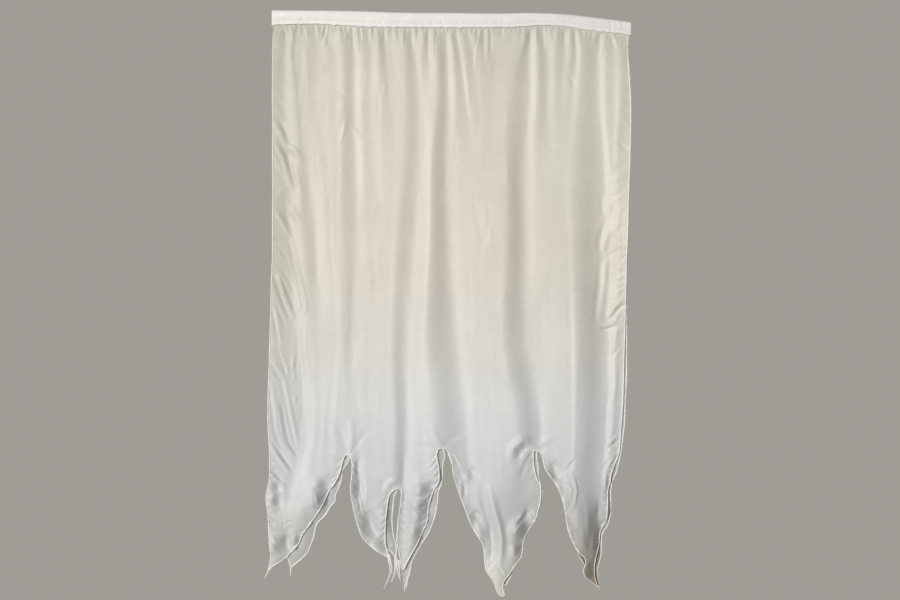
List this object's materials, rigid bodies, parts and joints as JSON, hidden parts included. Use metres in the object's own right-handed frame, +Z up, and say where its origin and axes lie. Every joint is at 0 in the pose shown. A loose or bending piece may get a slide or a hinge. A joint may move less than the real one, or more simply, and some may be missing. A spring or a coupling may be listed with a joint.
{
  "type": "worship flag",
  "caption": "Two-layer satin flag hung from a white casing along its top edge, falling in soft folds to five long tapering tails.",
  "frame": {"origin": "on the top edge of the casing, halfway along it and halfway through its depth", "axes": "+Z up, -Y towards the front face, +X to the right as seen from the front"},
  "size_m": [0.6902, 0.0302, 1.11],
  "materials": {
    "white_casing": "matt white cotton, folded and sewn",
    "satin": "soft satin sheen, warm cream turning cool silver towards the foot"
  },
  "bodies": {
    "root": {"rod_sleeve": "white_casing", "front_panel": "satin", "back_panel": "satin"}
  },
  "joints": []
}
